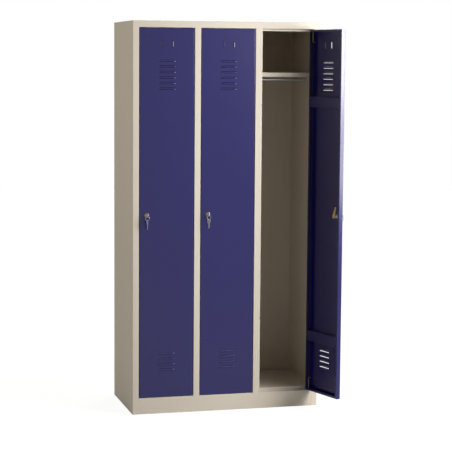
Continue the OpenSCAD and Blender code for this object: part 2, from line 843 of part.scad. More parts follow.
left_side_panel();
right_side_panel();
post(1);  // post_1
post(2);  // post_2
partition(1);  // partition_1
partition(2);  // partition_2
back_panel();
top_panel();
floor_panel();
plinth_front();
plinth_back();
plinth_centre_rail();
rail_sockets();
hinge_washers();
door_buffers();
for (i = [0:BAYS - 1]) {
    hat_shelf(i);
    hanging_rail(i);
    door(i);
    upper_stiffener(i);
    lower_stiffener(i);
    top_hinge_pin(i);
    bottom_hinge_pin(i);
    lock_housing(i);
    lock_nut(i);
    lock_plug(i);
    lock_cam(i);
    cam_screw(i);
    key(i);
    key_ring(i);
    spare_key(i);
}
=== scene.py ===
"""Dresses the steel locker cabinet: finishes, small hardware, studio and camera."""

import json
import logging
import math
from dataclasses import dataclass, field
from enum import Enum

import bmesh
import bpy
from mathutils import Matrix, Vector


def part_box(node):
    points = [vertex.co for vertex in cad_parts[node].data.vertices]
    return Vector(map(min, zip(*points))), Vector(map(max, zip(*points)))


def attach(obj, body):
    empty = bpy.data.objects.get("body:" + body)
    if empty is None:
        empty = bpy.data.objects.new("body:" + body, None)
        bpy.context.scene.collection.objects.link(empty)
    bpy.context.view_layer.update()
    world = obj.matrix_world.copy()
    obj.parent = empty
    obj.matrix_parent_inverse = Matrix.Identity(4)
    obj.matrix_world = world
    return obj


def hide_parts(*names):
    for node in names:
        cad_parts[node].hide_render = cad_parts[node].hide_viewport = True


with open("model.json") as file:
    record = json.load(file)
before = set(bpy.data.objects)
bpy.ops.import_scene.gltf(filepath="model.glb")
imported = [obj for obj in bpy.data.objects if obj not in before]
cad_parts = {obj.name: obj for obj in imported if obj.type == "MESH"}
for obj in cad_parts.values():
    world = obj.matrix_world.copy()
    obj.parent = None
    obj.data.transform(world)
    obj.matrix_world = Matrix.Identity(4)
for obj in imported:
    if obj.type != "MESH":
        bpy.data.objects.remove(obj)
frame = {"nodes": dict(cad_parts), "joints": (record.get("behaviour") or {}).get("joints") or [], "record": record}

LOG = logging.getLogger("locker")
MM = 0.001
BAYS = (1, 2, 3)              # numbers of the doors, of their locks and of the rails behind them
MERGE = 1e-6                  # corners closer than this become one
FLAT = 0.9                    # a face whose normal has this much of an axis lies across it
SHARP = math.radians(60.0)    # edges that turn more than this are rounded over
CREASE = math.radians(35.0)   # edges that turn more than this stay crisp in the shading

Colour = tuple[float, float, float]


# ---------- shader maths ----------

class Signal:
    """An output socket that can be used in a Python expression."""

    def __init__(self, graph: "Graph", socket: bpy.types.NodeSocket) -> None:
        """Wraps a socket.

        Args:
            graph: The node tree that the socket belongs to.
            socket: The output socket.
        """
        self.graph = graph
        self.socket = socket

    def _math(self, operation: str, *values: "Signal | float") -> "Signal":
        """Adds a Math node and returns its result."""
        sockets = dict(enumerate(values))
        return self.graph.node("ShaderNodeMath", {"operation": operation}, sockets)

    def __add__(self, other: "Signal | float") -> "Signal":
        """Sum."""
        return self._math("ADD", self, other)

    def __radd__(self, other: float) -> "Signal":
        """Sum with a number on the left."""
        return self._math("ADD", other, self)

    def __mul__(self, other: "Signal | float") -> "Signal":
        """Product."""
        return self._math("MULTIPLY", self, other)

    def __rmul__(self, other: float) -> "Signal":
        """Product with a number on the left."""
        return self._math("MULTIPLY", other, self)


class Graph:
    """The node tree of one material or of the world."""

    def __init__(self, tree: bpy.types.NodeTree) -> None:
        """Empties a node tree to start from.

        Args:
            tree: The tree to fill.
        """
        self.tree = tree
        tree.nodes.clear()

    def node(self, kind: str, settings: dict | None = None, sockets: dict | None = None,
             output: int | str = 0) -> Signal:
        """Adds any node.

        Args:
            kind: The node's type, such as "ShaderNodeTexNoise".
            settings: Attributes of the node, set before its sockets.
            sockets: Values or signals by the name or number of their input.
            output: The output to return.

        Returns:
            The chosen output.
        """
        node = self.tree.nodes.new(kind)
        for name, value in (settings or {}).items():
            setattr(node, name, value)
        for name, value in (sockets or {}).items():
            self._feed(node.inputs[name], value)
        return Signal(self, node.outputs[output] if node.outputs else None)

    def _feed(self, socket: bpy.types.NodeSocket, value: object) -> None:
        """Links a signal to a socket, or sets a plain value on it.

        Args:
            socket: The input socket.
            value: A signal, a number, a colour or a vector.
        """
        if isinstance(value, Signal):
            self.tree.links.new(value.socket, socket)
        elif socket.type == "RGBA":
            socket.default_value = (*value, 1.0)
        else:
            socket.default_value = value

    def noise(self, place: Signal, scale: float, detail: float = 2.0) -> Signal:
        """Noise around 0.5 at a number of features per metre."""
        sockets = {"Vector": place, "Scale": scale, "Detail": detail}
        return self.node("ShaderNodeTexNoise", {}, sockets)

    def object_place(self) -> Signal:
        """Object coordinates."""
        return self.node("ShaderNodeTexCoord", output="Object")

    def blend(self, factor: Signal | float, first: object, second: object) -> Signal:
        """Mixes two colours.

        Args:
            factor: Share of the second colour.
            first: First colour, or a colour signal.
            second: Second colour, or a colour signal.

        Returns:
            The mixed colour.
        """
        # By number, because the node names its inputs for numbers and for colours alike
        sockets = {0: factor, 6: first, 7: second}
        return self.node("ShaderNodeMix", {"data_type": "RGBA"}, sockets, output=2)

    def bump(self, height: Signal, depth: float, over: Signal | None = None) -> Signal:
        """Turns a height between 0 and 1 into a normal.

        Args:
            height: The height signal.
            depth: Depth of the relief in metres.
            over: An earlier normal that this relief lies on.

        Returns:
            The bumped normal.
        """
        sockets = {"Height": height, "Distance": depth, "Strength": 1.0}
        if over is not None:
            sockets["Normal"] = over
        return self.node("ShaderNodeBump", {}, sockets)

    def mixed(self, share: Signal, first: Signal, second: Signal) -> Signal:
        """Mixes two shaders by the share of the second one."""
        return self.node("ShaderNodeMixShader", {}, {0: share, 1: first, 2: second})

    def surface(self, sockets: dict) -> None:
        """Ends a material in one Principled shader with the given sockets."""
        shader = self.node("ShaderNodeBsdfPrincipled", {}, sockets)
        self.node("ShaderNodeOutputMaterial", {}, {"Surface": shader})


def new_material(name: str) -> tuple[bpy.types.Material, Graph]:
    """Makes an empty node material.

    Args:
        name: The material's name.

    Returns:
        The material and its graph.
    """
    material = bpy.data.materials.new(name)
    material.use_nodes = True
    return material, Graph(material.node_tree)


def scaled(colour: Colour, factor: float) -> Colour:
    """A colour made lighter or darker by a factor."""
    return tuple(channel * factor for channel in colour)


# ---------- mesh help ----------

def turned(profile: list[tuple[float, float]], steps: int,
           closed: bool = True) -> bmesh.types.BMesh:
    """Turns an outline about the Y axis.

    Args:
        profile: Radius and depth along Y of each corner, in millimetres.
        steps: Flats around the turned shape.
        closed: Whether the outline closes on itself, or starts and ends on the axis.

    Returns:
        The turned shape, in metres.
    """
    shape = bmesh.new()
    corners = [shape.verts.new((radius * MM, depth * MM, 0.0)) for radius, depth in profile]
    ends = corners[1:] + corners[:1] if closed else corners[1:]
    edges = [shape.edges.new(pair) for pair in zip(corners, ends)]
    bmesh.ops.spin(shape, geom=corners + edges, axis=(0.0, 1.0, 0.0), cent=(0.0, 0.0, 0.0),
                   angle=2 * math.pi, steps=steps, use_merge=True, use_duplicate=False)
    return shape


def round_over(shape: bmesh.types.BMesh, faces: list[bmesh.types.BMFace],
               radius: float) -> None:
    """Rounds the sharp edges of some faces.

    Args:
        shape: The shape.
        faces: Faces whose edges are rounded where they turn sharply.
        radius: Radius in metres.
    """
    edges = {edge for face in faces for edge in face.edges}
    sharp = [edge for edge in edges if edge.is_manifold and edge.calc_face_angle() > SHARP]
    bmesh.ops.bevel(shape, geom=sharp, offset=radius, segments=2, profile=0.5,
                    affect="EDGES", material=-1, clamp_overlap=True)


def thickened(shape: bmesh.types.BMesh, faces: list[bmesh.types.BMFace],
              thickness: float) -> list[bmesh.types.BMFace]:
    """Makes a plate of flat faces that lie in the XY plane.

    Args:
        shape: The shape.
        faces: The flat faces.
        thickness: Thickness of the plate, half of it to each side.

    Returns:
        All the plate's faces, which point outwards.
    """
    others = set(shape.faces) - set(faces)
    bmesh.ops.translate(shape, verts=list({vert for face in faces for vert in face.verts}),
                        vec=(0.0, 0.0, -thickness / 2))
    made = bmesh.ops.extrude_face_region(shape, geom=faces)["geom"]
    lifted = [item for item in made if isinstance(item, bmesh.types.BMVert)]
    bmesh.ops.translate(shape, verts=lifted, vec=(0.0, 0.0, thickness))
    plate = [face for face in shape.faces if face not in others]
    bmesh.ops.recalc_face_normals(shape, faces=plate)
    return plate


def repeated(shape: bmesh.types.BMesh, places: list[Matrix]) -> bmesh.types.BMesh:
    """Puts copies of a shape at several places, in its stead.

    Args:
        shape: The shape, which stands at the origin.
        places: Where the copies go.

    Returns:
        The shape with all its copies.
    """
    first = list(shape.verts) + list(shape.edges) + list(shape.faces)
    for place in places:
        made = bmesh.ops.duplicate(shape, geom=first)["geom"]
        verts = [item for item in made if isinstance(item, bmesh.types.BMVert)]
        bmesh.ops.transform(shape, matrix=place, verts=verts)
    verts = [item for item in first if isinstance(item, bmesh.types.BMVert)]
    bmesh.ops.delete(shape, geom=verts, context="VERTS")
    return shape


def finished_piece(shape: bmesh.types.BMesh, name: str, place: Matrix) -> bpy.types.Object:
    """Makes an object at the origin whose place is in its mesh.

    Args:
        shape: The shape, which is used up.
        name: The object's name.
        place: Where the shape goes.

    Returns:
        The object.
    """
    bmesh.ops.remove_doubles(shape, verts=shape.verts, dist=MERGE)
    bmesh.ops.recalc_face_normals(shape, faces=shape.faces)
    bmesh.ops.transform(shape, matrix=place, verts=shape.verts)
    mesh = bpy.data.meshes.new(name)
    shape.to_mesh(mesh)
    shape.free()
    mesh.shade_smooth()
    mesh.set_sharp_from_angle(angle=CREASE)
    piece = bpy.data.objects.new(name, mesh)
    bpy.context.scene.collection.objects.link(piece)
    LOG.info("%s: %d faces", name, len(mesh.polygons))
    return piece


def joint_of(name: str) -> dict:
    """Finds a joint of the frame by its name."""
    return next(joint for joint in frame["joints"] if joint["name"] == name)


def lock_place(number: int) -> Matrix:
    """Finds the frame of a lock: its axis at the door's face, Y inwards, Z up, X to the hinge.

    Args:
        number: The lock's number, from 1.

    Returns:
        The frame as a matrix from the lock's own measures to the cabinet's.
    """
    turn = joint_of(f"lock_{number}_turn")
    inwards = -Vector(turn["axis"])
    up = Vector((0.0, 0.0, 1.0))
    axes = Matrix((inwards.cross(up), inwards, up)).transposed().to_4x4()
    return Matrix.Translation(turn["pos_m"]) @ axes


# ---------- finishes ----------

@dataclass(frozen=True)
class PowderCoat:
    """Baked powder paint on folded sheet steel, with a fine orange peel."""

    name: str
    colour: Colour
    roughness: float
    specular: float             # reflection straight on, where 0.5 is a clear varnish
    mottle: float = 0.03        # share by which the shade differs at most
    drift_scale: float = 6.0    # slow changes of shade and gloss, per metre
    drift_share: float = 0.7    # of the mottle
    speck_scale: float = 900.0  # fine specks, per metre
    speck_share: float = 0.3    # of the mottle
    gloss_range: float = 0.06   # between the glossiest and the dullest spots
    peel_scale: float = 420.0   # bumps of the orange peel, per metre
    peel_depth: float = 0.00002
    wave_scale: float = 3.0     # slow waves of the thin sheet, per metre
    wave_depth: float = 0.00012

    def material(self) -> bpy.types.Material:
        """Makes the paint.

        Returns:
            The material.
        """
        material, graph = new_material(self.name)
        place = graph.object_place()
        drift = graph.noise(place, self.drift_scale, detail=3.0)
        speck = graph.noise(place, self.speck_scale, detail=1.0)
        peel = graph.noise(place, self.peel_scale, detail=1.5)
        wave = graph.noise(place, self.wave_scale, detail=1.0)
        shade = graph.blend(drift * self.drift_share + speck * self.speck_share,
                            scaled(self.colour, 1 - self.mottle),
                            scaled(self.colour, 1 + self.mottle))
        normal = graph.bump(peel, self.peel_depth, graph.bump(wave, self.wave_depth))
        dullness = drift * self.gloss_range + (self.roughness - self.gloss_range / 2)
        graph.surface({"Base Color": shade, "Roughness": dullness,
                       "Specular IOR Level": self.specular, "Normal": normal})
        return material


@dataclass(frozen=True)
class BareMetal:
    """Plated or turned metal with fine lines from drawing, turning or polishing."""

    name: str
    colour: Colour
    roughness: float
    lines: Vector               # lines per metre along each axis
    line_depth: float = 0.000005
    line_wear: float = 0.08     # range of the roughness from line to line
    patch_scale: float = 90.0   # patches of tarnish, per metre
    patch_wear: float = 0.12    # range of the roughness from patch to patch
    tarnish: float = 0.12       # share by which the patches are darker

    def material(self) -> bpy.types.Material:
        """Makes the metal.

        Returns:
            The material.
        """
        material, graph = new_material(self.name)
        place = graph.object_place()
        along = graph.node("ShaderNodeMapping", {}, {"Vector": place, "Scale": self.lines})
        lines = graph.noise(along, 1.0)
        patches = graph.noise(place, self.patch_scale, detail=3.0)
        shade = graph.blend(patches, self.colour, scaled(self.colour, 1 - self.tarnish))
        least = self.roughness - (self.patch_wear + self.line_wear) / 2
        graph.surface({"Base Color": shade, "Metallic": 1.0,
                       "Roughness": patches * self.patch_wear + lines * self.line_wear + least,
                       "Normal": graph.bump(lines, self.line_depth)})
        return material


@dataclass(frozen=True)
class MouldedRubber:
    """Matt black rubber."""

    name: str
    colour: Colour
    roughness: float            # where it is clean
    grain_scale: float = 1500.0
    grain_depth: float = 0.00002
    dust_scale: float = 300.0   # spots of dust, per metre
    dust_shade: float = 1.6     # how many times lighter they are
    dust_wear: float = 0.15     # how much rougher they are

    def material(self) -> bpy.types.Material:
        """Makes the rubber.

        Returns:
            The material.
        """
        material, graph = new_material(self.name)
        place = graph.object_place()
        grain = graph.noise(place, self.grain_scale)
        dust = graph.noise(place, self.dust_scale)
        shade = graph.blend(dust, self.colour, scaled(self.colour, self.dust_shade))
        graph.surface({"Base Color": shade, "Roughness": dust * self.dust_wear + self.roughness,
                       "Normal": graph.bump(grain, self.grain_depth)})
        return material


class Finish(Enum):
    """Every finish on the cabinet, with the record's material slot that it belongs to."""

    CARCASS = ("carcass", PowderCoat("light_powder_coat", (0.62, 0.557, 0.468), 0.65, 0.25))
    DOOR = ("door", PowderCoat("blue_powder_coat", (0.003, 0.0015, 0.080), 0.235, 0.5))
    RAIL = ("rail_steel", BareMetal("zinc_tube", (0.52, 0.54, 0.58), 0.30,
                                    lines=Vector((4, 900, 900))))
    # Dark oiled steel for the hinge pins, its colour darkened further as painted shade for the shade the pins
    # stand in along the hinge side
    HINGE = ("hinge_steel", BareMetal("pin_steel_with_painted_shade", (0.15, 0.13, 0.09), 0.45,
                                      lines=Vector((400, 400, 30))))
    RUBBER = ("rubber", MouldedRubber("black_rubber", (0.012, 0.012, 0.013), 0.7))
    CHROME = ("lock_chrome", BareMetal("lock_nickel", (0.22, 0.21, 0.205), 0.22,
                                       lines=Vector((60, 60, 900))))
    BRASS = ("lock_brass", BareMetal("lock_brass", (0.70, 0.50, 0.20), 0.34,
                                     lines=Vector((300, 300, 60))))
    SCREW = ("screw_zinc", BareMetal("screw_zinc", (0.34, 0.33, 0.31), 0.32,
                                     lines=Vector((300, 300, 300))))
    KEY = ("key_nickel", BareMetal("key_nickel", (0.34, 0.32, 0.31), 0.38,
                                   lines=Vector((500, 500, 40))))
    RING = ("ring_steel", BareMetal("ring_steel", (0.28, 0.28, 0.30), 0.3,
                                    lines=Vector((80, 80, 80))))

    def __init__(self, slot: str, recipe: PowderCoat | BareMetal | MouldedRubber) -> None:
        """Keeps the slot's name and the recipe.

        Args:
            slot: The material slot in the record.
            recipe: What the finish is.
        """
        self.slot = slot
        self.recipe = recipe


class Finishes:
    """Makes each finish once and puts it on pieces."""

    def __init__(self) -> None:
        """Makes all the materials."""
        self.made = {finish.slot: finish.recipe.material() for finish in Finish}

    def dress_nodes(self, record: dict, nodes: dict[str, bpy.types.Object]) -> None:
        """Gives every carried-over node the finish of its material slot.

        Args:
            record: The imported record.
            nodes: The frame's objects by name.
        """
        for part in record["subparts"]:
            self.put_on(nodes[part["node"]], part["material_slot"])
        LOG.info("dressed %d nodes", len(record["subparts"]))

    def put_on(self, piece: bpy.types.Object, slot: str) -> None:
        """Gives one piece a finish.

        Args:
            piece: The object.
            slot: The material slot in the record.
        """
        if not piece.material_slots:
            piece.data.materials.append(None)
        for holder in piece.material_slots:
            holder.material = self.made[slot]


# ---------- locks and keys ----------

@dataclass
class LockHousing:
    """Turned housing: stepped bezel outside the door, threaded barrel inside it.

    Its sizes are in millimetres, and its depths run inwards from the door's face.
    """

    bore: float = 5.55          # radius
    flange: float = 11.0        # radius
    flange_height: float = 2.5
    barrel: float = 8.0         # radius over the thread
    barrel_end: float = 23.6
    pitch: float = 1.0
    thread_depth: float = 0.45
    end_chamfer: float = 0.4
    plain_end: float = 0.5      # stretch without thread before the end
    steps: int = 48

    # Corners of the bezel: how far outside the bore, and how far behind the bezel's front
    BORE_LIP = ((0.0, 0.6), (0.5, 0.1), (1.1, 0.1), (1.4, 0.5))
    # Corners of the raised rim: how far inside the flange, and how far behind its front
    RIM = ((2.8, 0.5), (2.4, 0.0), (1.4, 0.0), (0.5, 0.35), (0.0, 1.1))

    def shape(self) -> bmesh.types.BMesh:
        """Turns the housing.

        Returns:
            The housing about the Y axis.
        """
        front = -self.flange_height
        bezel = [(self.bore, self.barrel_end)]
        bezel += [(self.bore + out, front + behind) for out, behind in self.BORE_LIP]
        bezel += [(self.flange - inside, front + behind) for inside, behind in self.RIM]
        bezel += [(self.flange, 0.0)]
        return turned(bezel + self._thread(), steps=self.steps)

    def _thread(self) -> list[tuple[float, float]]:
        """Draws the thread from the flange to the chamfered end.

        Returns:
            Radius and depth of its crests and roots.
        """
        root = self.barrel - self.thread_depth
        turns = int((self.barrel_end - self.plain_end) / self.pitch)
        corners = [(root, 0.0)]
        for turn in range(turns):
            corners += [(self.barrel, (turn + 0.5) * self.pitch), (root, (turn + 1) * self.pitch)]
        return corners + [(root, self.barrel_end - self.end_chamfer),
                          (root - self.end_chamfer, self.barrel_end)]


@dataclass
class FlatKey:
    """A flat key with its blade along +X: oval coined bow, shoulder, grooved and cut blade."""

    thickness: float = 2.1 * MM
    bow_radius: float = 9.0 * MM
    bow_stretch: float = 4.0 * MM
    hole_radius: float = 3.25 * MM
    hole_stretch: float = 2.5 * MM
    hole_place: float = -3.5 * MM
    rim: float = 0.7 * MM
    coining: float = 0.25 * MM
    shoulder_length: float = 5.0 * MM
    shoulder_width: float = 10.0 * MM
    shoulder_end: float = 15.0 * MM
    shoulder_step: float = 0.02 * MM    # by which it stands proud of the blade's faces
    blade_half_width: float = 3.5 * MM
    blade_thickness: float = 2.0 * MM
    groove_depth: float = 0.45 * MM
    groove_slope: float = 0.12 * MM     # width of each sloping wall
    edge_radius: float = 0.22 * MM
    segments: int = 48

    # Millimetres along the blade, and how far the cuts, or at the tip the taper, reach in there
    BLADE = ((-1.0, 0.0), (1.7, 0.0), (3.0, 1.0), (4.0, 1.0), (5.3, 0.0), (6.6, 2.0), (7.6, 2.0),
             (8.9, 0.0), (10.2, 1.5), (11.2, 1.5), (12.5, 0.0), (13.8, 1.0), (14.8, 1.0),
             (16.1, 0.0), (18.2, 0.7), (20.8, 3.2))
    GROOVE_EDGES = (-1.0 * MM, 0.1 * MM, 1.2 * MM)
    GROOVE_END = 17.0 * MM

    def shape(self) -> bmesh.types.BMesh:
        """Makes the key.

        Returns:
            The key flat in the XY plane, with the bow's middle at the origin.
        """
        shape = bmesh.new()
        self._bow(shape)
        self._shoulder(shape)
        self._blade(shape)
        return shape

    def _bow(self, shape: bmesh.types.BMesh) -> None:
        """Adds the oval bow with its slotted hole and coined faces.

        Args:
            shape: The key so far.
        """
        rim = bmesh.ops.create_circle(shape, segments=self.segments, radius=self.bow_radius)
        hole = bmesh.ops.create_circle(shape, segments=self.segments, radius=self.hole_radius)
        right = [vert for vert in rim["verts"] if vert.co.x > MERGE]
        bmesh.ops.translate(shape, verts=right, vec=(self.bow_stretch, 0.0, 0.0))
        for side in (-1, 1):
            half = [vert for vert in hole["verts"] if vert.co.y * side > MERGE]
            bmesh.ops.translate(shape, verts=half, vec=(0.0, side * self.hole_stretch / 2, 0.0))
        bmesh.ops.translate(shape, verts=hole["verts"], vec=(self.hole_place, 0.0, 0.0))
        annulus = bmesh.ops.bridge_loops(shape, edges=list(shape.edges))["faces"]
        plate = thickened(shape, annulus, self.thickness)
        flats = [face for face in plate if abs(face.normal.z) > FLAT]
        walls = [face for face in plate if abs(face.normal.z) <= FLAT]
        bmesh.ops.inset_region(shape, faces=flats, thickness=self.rim, depth=-self.coining,
                               use_boundary=True, use_even_offset=True)
        round_over(shape, walls, self.edge_radius)

    def _shoulder(self, shape: bmesh.types.BMesh) -> None:
        """Adds the shoulder between the bow and the blade.

        Args:
            shape: The key so far.
        """
        before = set(shape.faces)
        block = bmesh.ops.create_cube(shape, size=1.0)["verts"]
        height = self.blade_thickness + 2 * self.shoulder_step
        bmesh.ops.scale(shape, verts=block,
                        vec=(self.shoulder_length, self.shoulder_width, height))
        middle = self.shoulder_end - self.shoulder_length / 2
        bmesh.ops.translate(shape, verts=block, vec=(middle, 0.0, 0.0))
        round_over(shape, [face for face in shape.faces if face not in before],
                   2 * self.edge_radius)

    def _blade(self, shape: bmesh.types.BMesh) -> None:
        """Adds the blade, with its cuts on the lower edge and a groove on each face.

        Args:
            shape: The key so far.
        """
        before = set(shape.faces)
        columns = len(self.BLADE) - 1
        rows = len(self.GROOVE_EDGES) + 1
        grid = bmesh.ops.create_grid(shape, x_segments=columns, y_segments=rows, size=0.5)
        for vert in grid["verts"]:
            along, reach = self.BLADE[round((vert.co.x + 0.5) * columns)]
            row = round((vert.co.y + 0.5) * rows)
            top = self.blade_half_width - (reach * MM if along > self.GROOVE_END / MM else 0.0)
            heights = (reach * MM - self.blade_half_width, *self.GROOVE_EDGES, top)
            height = max(min(heights[row], top), heights[0])
            vert.co = (self.shoulder_end + along * MM, height, 0.0)
        sheet = [face for face in shape.faces if face not in before]
        plate = thickened(shape, sheet, self.blade_thickness)
        low, middle, high = self.GROOVE_EDGES
        for side, bottom, top in ((1, middle, high), (-1, low, middle)):
            strip = [face for face in plate if face.is_valid and face.normal.z * side > FLAT
                     and bottom < face.calc_center_median().y < top
                     and face.calc_center_median().x < self.shoulder_end + self.GROOVE_END]
            bmesh.ops.inset_region(shape, faces=strip, thickness=self.groove_slope,
                                   depth=-self.groove_depth, use_boundary=True,
                                   use_even_offset=True)


@dataclass
class SplitRing:
    """A key ring of flattened wire in two turns, with the crossing between its two ends."""

    radius: float = 9.0 * MM
    wire_width: float = 1.5 * MM
    wire_height: float = 0.75 * MM
    layer_gap: float = 0.03 * MM
    crossing: float = math.radians(40.0)
    steps_per_turn: int = 54
    wire_sides: int = 12

    def shape(self) -> bmesh.types.BMesh:
        """Winds the wire about the Y axis.

        Returns:
            The ring with its middle at the origin.
        """
        shape = bmesh.new()
        wire = bmesh.ops.create_circle(shape, segments=self.wire_sides, radius=0.5)["verts"]
        climb = self.wire_height + self.layer_gap
        bmesh.ops.scale(shape, verts=wire, vec=(self.wire_width, self.wire_height, 1.0))
        bmesh.ops.translate(shape, verts=wire, vec=(self.radius, -climb / 2, 0.0))
        bmesh.ops.rotate(shape, verts=wire, cent=(0.0, 0.0, 0.0),
                         matrix=Matrix.Rotation(self.crossing / 2, 3, "Y"))
        end = list(shape.verts) + list(shape.edges)
        lap = 2 * math.pi - self.crossing
        for angle, rise in ((lap, 0.0), (self.crossing, climb), (lap, 0.0)):
            steps = round(angle / (2 * math.pi) * self.steps_per_turn)
            end = bmesh.ops.spin(shape, geom=end, axis=(0.0, 1.0, 0.0), cent=(0.0, 0.0, 0.0),
                                 dvec=(0.0, rise / steps, 0.0), angle=angle, steps=steps,
                                 use_duplicate=False)["geom_last"]
        bmesh.ops.holes_fill(shape, edges=[edge for edge in shape.edges if edge.is_boundary])
        return shape


# Degrees by which each spare key has come to hang turned about the vertical, lock by lock
SPARE_YAWS = (58.0, -58.0, -38.0)


@dataclass
class LockSet:
    """The housing, keys and ring of one door's lock."""

    number: int
    spare_yaw: float            # in degrees
    housing: LockHousing = field(default_factory=LockHousing)
    key: FlatKey = field(default_factory=FlatKey)
    ring: SplitRing = field(default_factory=SplitRing)
    slack: float = 1.1 * MM     # from the ring's middle line to the edge of a key's hole

    def build(self, finishes: Finishes) -> None:
        """Builds and dresses the four pieces.

        Args:
            finishes: The finishes.
        """
        lock = lock_place(self.number)
        middle = lock.inverted() @ Vector(joint_of(f"spare_key_{self.number}_slide_round")["pos_m"])
        ring = lock @ Matrix.Translation(middle)
        edgewise = Matrix.Rotation(math.pi / 2, 4, "Y") @ Matrix.Rotation(math.pi / 2, 4, "Z")
        inserted = (lock @ Matrix.Translation((0.0, middle.y - self.key.hole_place, 0.0))
                    @ edgewise)
        drop = self.ring.radius + self.key.hole_radius - self.slack
        hanging = (ring @ Matrix.Translation((0.0, 0.0, -drop))
                   @ Matrix.Rotation(math.radians(self.spare_yaw), 4, "Z")
                   @ Matrix.Translation((0.0, 0.0, self.key.hole_place))
                   @ Matrix.Rotation(-math.pi / 2, 4, "X") @ Matrix.Rotation(math.pi / 2, 4, "Y")
                   @ edgewise)
        pieces = (
            (self.housing, lock, "threaded_housing", "lock_housing", "door_body", "lock_chrome"),
            (self.key, inserted, "cut_key", "key", "lock_body", "key_nickel"),
            (self.ring, ring, "split_ring", "key_ring", "ring_body", "ring_steel"),
            (self.key, hanging, "cut_spare_key", "spare_key", "spare_key_body", "key_nickel"),
        )
        for maker, place, title, node, body, slot in pieces:
            piece = finished_piece(maker.shape(), f"{title}_{self.number}", place)
            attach(piece, f"{body}_{self.number}")
            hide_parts(f"{node}_{self.number}")
            finishes.put_on(piece, slot)


# ---------- welds and rivets ----------

@dataclass
class SpotWelds:
    """The marks of the welds that hold a door's two stiffeners by their feet.

    Their sizes are in millimetres.
    """

    number: int                 # of the door
    radius: float = 2.75
    root: float = 0.05          # how far a mark reaches into the foot
    dent: float = 0.03          # height of the middle of the dent
    foot_depth: float = 2.0     # of the feet's inner face behind the door's face
    per_foot: int = 5
    end_inset: float = 16.0     # of the outermost marks from the stiffener's ends
    foot_inset: float = 3.9     # of the marks from the stiffener's edges
    steps: int = 20

    # Corners of the raised ring around the dent: how far inside its edge, and how high
    RIDGE = ((0.0, 0.0), (0.4, 0.13), (0.9, 0.04))

    def build(self, finishes: Finishes) -> None:
        """Builds and dresses the marks of one door.

        Args:
            finishes: The finishes.
        """
        foot = self.foot_depth
        mark = [(0.0, foot - self.root), (self.radius, foot - self.root)]
        mark += [(self.radius - inside, foot + height) for inside, height in self.RIDGE]
        mark += [(0.0, foot + self.dent)]
        shape = repeated(turned(mark, self.steps, closed=False), self._places())
        piece = finished_piece(shape, f"spot_welds_{self.number}", lock_place(self.number))
        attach(piece, f"door_body_{self.number}")
        finishes.put_on(piece, "door")

    def _places(self) -> list[Matrix]:
        """Finds where the marks go, from the first door, which stands square to the axes.

        Returns:
            Their places in the frame of the door's lock.
        """
        first = lock_place(1).inverted()
        in_from_end, in_from_edge = self.end_inset * MM, self.foot_inset * MM
        places = []
        for node in ("upper_stiffener_1", "lower_stiffener_1"):
            low, high = (first @ Vector(corner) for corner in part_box(node))
            start, end = low.x + in_from_end, high.x - in_from_end
            for height in (low.z + in_from_edge, high.z - in_from_edge):
                for step in range(self.per_foot):
                    along = start + (end - start) * step / (self.per_foot - 1)
                    places.append(Matrix.Translation((along, 0.0, height)))
        return places


@dataclass
class SocketRivets:
    """Blind rivets, two through the base plate of every rail socket.

    Their sizes are in millimetres.
    """

    head_radius: float = 1.7
    head_height: float = 0.95
    root: float = 0.1           # how far a head reaches into the base plate
    hole_radius: float = 0.6    # of the hole that the mandrel has left
    hole_floor: float = 0.35    # height of its middle, as a share of the head's
    spacing: float = 11.5       # from the rail's axis
    steps: int = 20

    # Corners of the dome, as shares of the head's radius and height
    DOME = ((1.0, 0.25), (0.8, 0.7))
    # Corners of the hole: how far outside its radius, and share of the head's height
    HOLE = ((0.2, 1.0), (0.0, 0.93), (-0.05, 0.4))

    def build(self, finishes: Finishes) -> None:
        """Builds and dresses all the rivets.

        Args:
            finishes: The finishes.
        """
        head = [(0.0, -self.root), (self.head_radius, -self.root)]
        head += [(self.head_radius * out, self.head_height * up) for out, up in self.DOME]
        head += [(self.hole_radius + out, self.head_height * up) for out, up in self.HOLE]
        head += [(0.0, self.head_height * self.hole_floor)]
        shape = repeated(turned(head, self.steps, closed=False), self._places())
        piece = finished_piece(shape, "socket_rivets", Matrix.Identity(4))
        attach(piece, "cabinet")
        finishes.put_on(piece, "rail_steel")

    def _places(self) -> list[Matrix]:
        """Finds where the rivets go, on the plane of each end of every rail.

        Returns:
            Their places in the cabinet's frame.
        """
        places = []
        for number in BAYS:
            low, high = (Vector(corner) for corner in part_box(f"hanging_rail_{number}"))
            axis = (low + high) / 2
            for end, turn in ((low.x, -math.pi / 2), (high.x, math.pi / 2)):
                for aside in (-self.spacing * MM, self.spacing * MM):
                    centre = Vector((end, axis.y + aside, axis.z))
                    places.append(Matrix.Translation(centre) @ Matrix.Rotation(turn, 4, "Z"))
        return places


# ---------- studio ----------

@dataclass(frozen=True)
class SoftPanel:
    """A rectangular soft light that the camera doesn't see."""

    name: str
    place: Vector
    size: tuple[float, float]   # width and height in metres
    power: float                # watts
    tint: Colour = (1.0, 1.0, 1.0)
    target: Vector = Vector((0.1, -0.2, 1.0))

    def build(self) -> None:
        """Adds the light."""
        light = bpy.data.lights.new(self.name, "AREA")
        light.shape = "RECTANGLE"
        light.size, light.size_y = self.size
        light.energy = self.power
        light.color = self.tint
        lamp = bpy.data.objects.new(self.name, light)
        lamp.location = self.place
        lamp.rotation_euler = (self.target - self.place).to_track_quat("-Z", "Y").to_euler()
        lamp.visible_camera = False
        bpy.context.scene.collection.objects.link(lamp)


